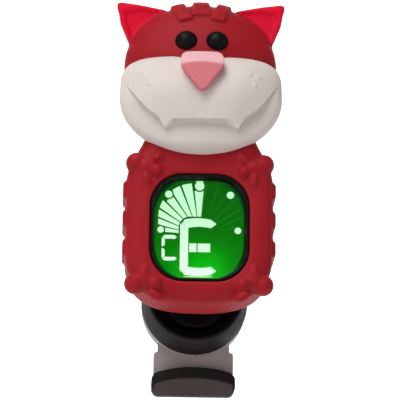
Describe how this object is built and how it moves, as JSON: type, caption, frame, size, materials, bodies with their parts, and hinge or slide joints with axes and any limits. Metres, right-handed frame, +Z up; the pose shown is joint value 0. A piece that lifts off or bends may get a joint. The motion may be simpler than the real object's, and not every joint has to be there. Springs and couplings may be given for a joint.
{
  "type": "clip-on tuner",
  "caption": "Clip-on instrument tuner: cat-shaped silicone sleeve round a backlit display, on a ball joint and a sprung headstock clip.",
  "frame": {"origin": "middle of the front jaw pad's gripping face", "axes": "+Y out of the front jaw pad's gripping face, away from the display's viewer; +Z up along the arms; +X to the viewer's right"},
  "size_m": [0.0338, 0.0678, 0.0767],
  "materials": {
    "red_silicone": "matte translucent silicone",
    "white_silicone": "matte translucent silicone",
    "pink_silicone": "matte silicone",
    "black_gloss": "glossy",
    "black_plastic": "fine moulded grain",
    "grey_plastic": "fine moulded grain",
    "black_rubber": "matte",
    "clear_lens": "polished",
    "display_glass": "backlit green",
    "white_plastic": "satin",
    "board_green": "solder mask",
    "steel": "bright",
    "brass": "satin"
  },
  "bodies": {
    "front_arm": {"front_arm": "grey_plastic", "front_jaw_pad": "black_rubber", "hinge_pin": "steel", "torsion_spring": "steel", "swivel_washer": "steel"},
    "rear_arm": {"rear_arm": "black_plastic", "rear_jaw_pad": "black_rubber"},
    "swivel_cup": {"swivel_cup": "black_plastic", "socket_collar": "black_plastic", "ball_seat": "white_plastic", "swivel_screw": "steel"},
    "ball": {"ball_stud": "black_plastic"},
    "tuner_head": {"silicone_sleeve": "red_silicone", "muzzle": "white_silicone", "nose": "pink_silicone", "eye_left": "black_gloss", "eye_right": "black_gloss", "front_housing": "black_plastic", "rear_cover": "black_plastic", "display_lens": "clear_lens", "lcd_panel": "display_glass", "backlight_diffuser": "white_plastic", "backlight_led": "white_plastic", "display_connector": "black_rubber", "circuit_board": "board_green", "processor": "black_plastic", "crystal": "steel", "tact_switch": "steel", "piezo_disc": "brass", "stud_nut": "brass", "battery": "steel", "battery_contact_positive": "steel", "battery_contact_negative": "steel", "cover_screw_1": "steel", "cover_screw_2": "steel", "cover_screw_3": "steel", "cover_screw_4": "steel"},
    "battery_door": {"battery_door": "black_plastic"},
    "power_button": {"power_button": "black_rubber"}
  },
  "joints": [
    {"name": "clip_hinge", "type": "hinge", "parent": "front_arm", "child": "rear_arm", "pos_m": [0, 0.0048, 0.0239], "axis": [1, 0, 0], "range_deg": [0, 36], "stiffness_Nm_per_rad": 0.12, "springref_deg": -57.3, "deforming": ["torsion_spring"]},
    {"name": "cup_swivel", "type": "hinge", "parent": "front_arm", "child": "swivel_cup", "pos_m": [0, -0.0076, 0.0165], "axis": [0, 1, 0], "continuous": true},
    {"name": "ball_tilt", "type": "hinge", "parent": "swivel_cup", "child": "ball", "pos_m": [0, -0.015, 0.0165], "axis": [1, 0, 0], "range_deg": [-22, 22]},
    {"name": "head_spin", "type": "hinge", "parent": "ball", "child": "tuner_head", "pos_m": [0, -0.015, 0.0165], "axis": [0, 1, 0], "continuous": true},
    {"name": "battery_door_turn", "type": "hinge", "parent": "tuner_head", "child": "battery_door", "pos_m": [0, -0.0239, 0.0303], "axis": [0, 1, 0], "range_deg": [0, 30]},
    {"name": "power_press", "type": "slide", "parent": "tuner_head", "child": "power_button", "axis": [0, -1, 0], "range_m": [0, 0.0005], "stiffness_N_per_m": 1000, "springref_m": -0.0005}
  ]
}
